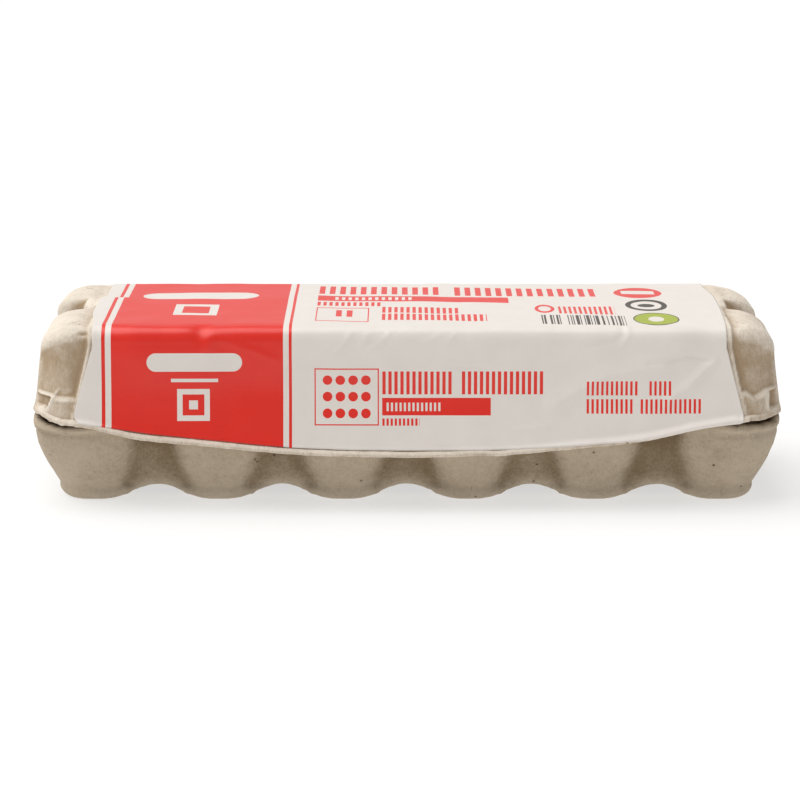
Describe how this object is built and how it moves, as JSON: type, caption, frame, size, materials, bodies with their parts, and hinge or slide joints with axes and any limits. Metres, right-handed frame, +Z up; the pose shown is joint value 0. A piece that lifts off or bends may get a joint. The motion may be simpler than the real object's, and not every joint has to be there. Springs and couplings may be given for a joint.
{
  "type": "egg carton with eggs",
  "caption": "Shut moulded-pulp egg carton with cups in two rows, a lid with a bowed front flap, and a printed paper label wrapped over the lid.",
  "frame": {"origin": "on the ground under the middle of the pack", "axes": "+X along the length, to the right when the bowed front flap is faced; the front faces -Y; +Z up"},
  "size_m": [0.3064, 0.1136, 0.0754],
  "materials": {
    "tray_pulp": "grey-beige moulded pulp, matt, with dark fibre flecks",
    "lid_pulp": "the same moulded pulp, matt, with dark fibre flecks",
    "label_paper": "thin white paper printed with a red field, stripes and bars, faintly glossy"
  },
  "bodies": {
    "root": {"tray": "tray_pulp", "lid": "lid_pulp", "label": "label_paper"}
  },
  "joints": []
}
